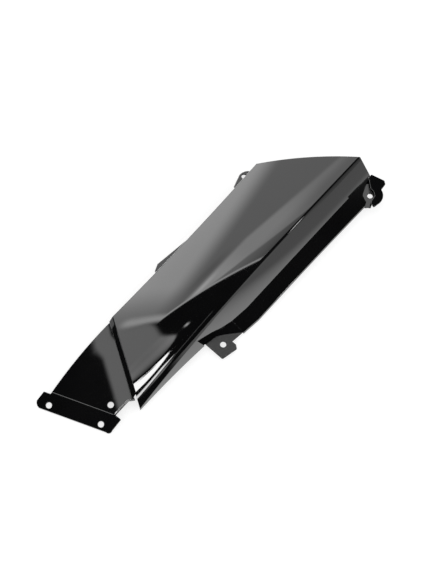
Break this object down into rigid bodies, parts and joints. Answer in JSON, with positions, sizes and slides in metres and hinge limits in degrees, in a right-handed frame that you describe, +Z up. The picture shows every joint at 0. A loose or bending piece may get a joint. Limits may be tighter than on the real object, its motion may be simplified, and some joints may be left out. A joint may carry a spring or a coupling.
{
  "type": "trim panel",
  "caption": "Long gloss trim panel for a motorbike, with a crowned face, side wall, overlap strip, stepped tongue, folded end flange, side tab and end bracket.",
  "frame": {"origin": "centre of the panel's outline in plan, on the bench it rests on", "axes": "+X along the panel from the end flange to the end bracket, +Y from the overlap strip to the hidden side, +Z up out of the crowned face"},
  "size_m": [0.4296, 0.139, 0.0441],
  "materials": {
    "trim_panel": "gloss"
  },
  "bodies": {
    "root": {"trim_panel": "trim_panel"}
  },
  "joints": []
}
